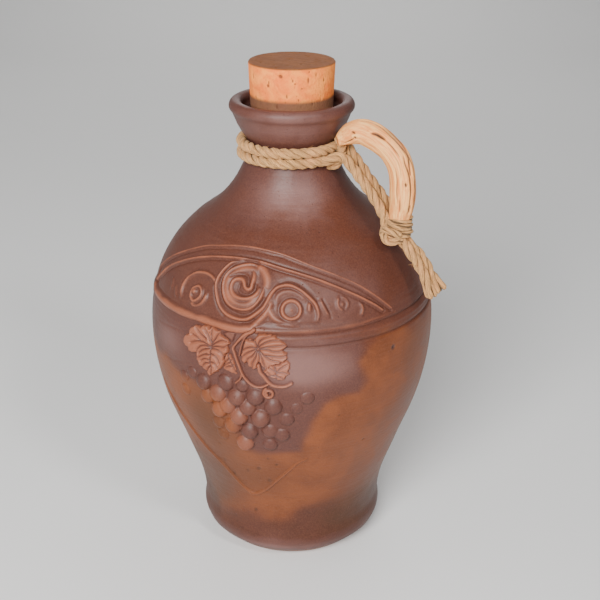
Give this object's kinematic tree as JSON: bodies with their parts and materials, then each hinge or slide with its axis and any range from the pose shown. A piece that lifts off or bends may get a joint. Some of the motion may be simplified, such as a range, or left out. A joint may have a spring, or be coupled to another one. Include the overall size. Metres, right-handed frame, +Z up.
{
  "type": "corked clay jug",
  "caption": "Round-bellied terracotta jug with a cork stopper, grape and scroll relief, and a bent-branch handle tied to its neck with rope.",
  "frame": {"origin": "centre of the base, on the surface that the jug stands on", "axes": "+Z up along the jug's axis; +X towards the handle; the grape relief faces -Y, turned 13 degrees towards +X"},
  "size_m": [0.1389, 0.1293, 0.2254],
  "materials": {
    "terracotta": "unglazed terracotta with a soft satin sheen, brown orange with mauve smoked patches",
    "relief_clay": "unglazed terracotta, rubbed lighter on the raised edges",
    "cork": "natural cork, matt, with dark pores",
    "branch_wood": "peeled branch, matt, with dark drying cracks",
    "rope": "three-strand plant-fibre rope, matt and hairy"
  },
  "bodies": {
    "jug": {"jug_body": "terracotta", "lens_border": "relief_clay", "scroll_middle": "relief_clay", "scroll_left": "relief_clay", "scroll_right": "relief_clay", "leaf_left": "relief_clay", "leaf_right": "relief_clay", "leaf_small_left": "relief_clay", "leaf_small_right": "relief_clay", "vine_stem": "relief_clay", "tendril": "relief_clay", "grape_bunch": "relief_clay", "shield_ridge": "relief_clay"},
    "stopper": {"cork_stopper": "cork"},
    "collar": {"neck_rope_upper": "rope", "neck_rope_lower": "rope", "neck_hitch": "rope"},
    "handle": {"handle_branch": "branch_wood", "handle_cord_front": "rope", "handle_cord_back": "rope", "handle_lashing": "rope", "lashing_knot": "rope", "tail_front": "rope", "tail_back": "rope"}
  },
  "joints": [
    {"name": "stopper_pull", "type": "slide", "parent": "jug", "child": "stopper", "axis": [0, 0, 1], "range_m": [0, 0.06]},
    {"name": "collar_turn", "type": "hinge", "parent": "jug", "child": "collar", "pos_m": [0, 0, 0.1887], "axis": [0, 0, 1], "range_deg": [-5, 200]},
    {"name": "handle_swing", "type": "hinge", "parent": "collar", "child": "handle", "pos_m": [0.025, 0, 0.19], "axis": [0, -1, 0], "range_deg": [0, 8]}
  ]
}
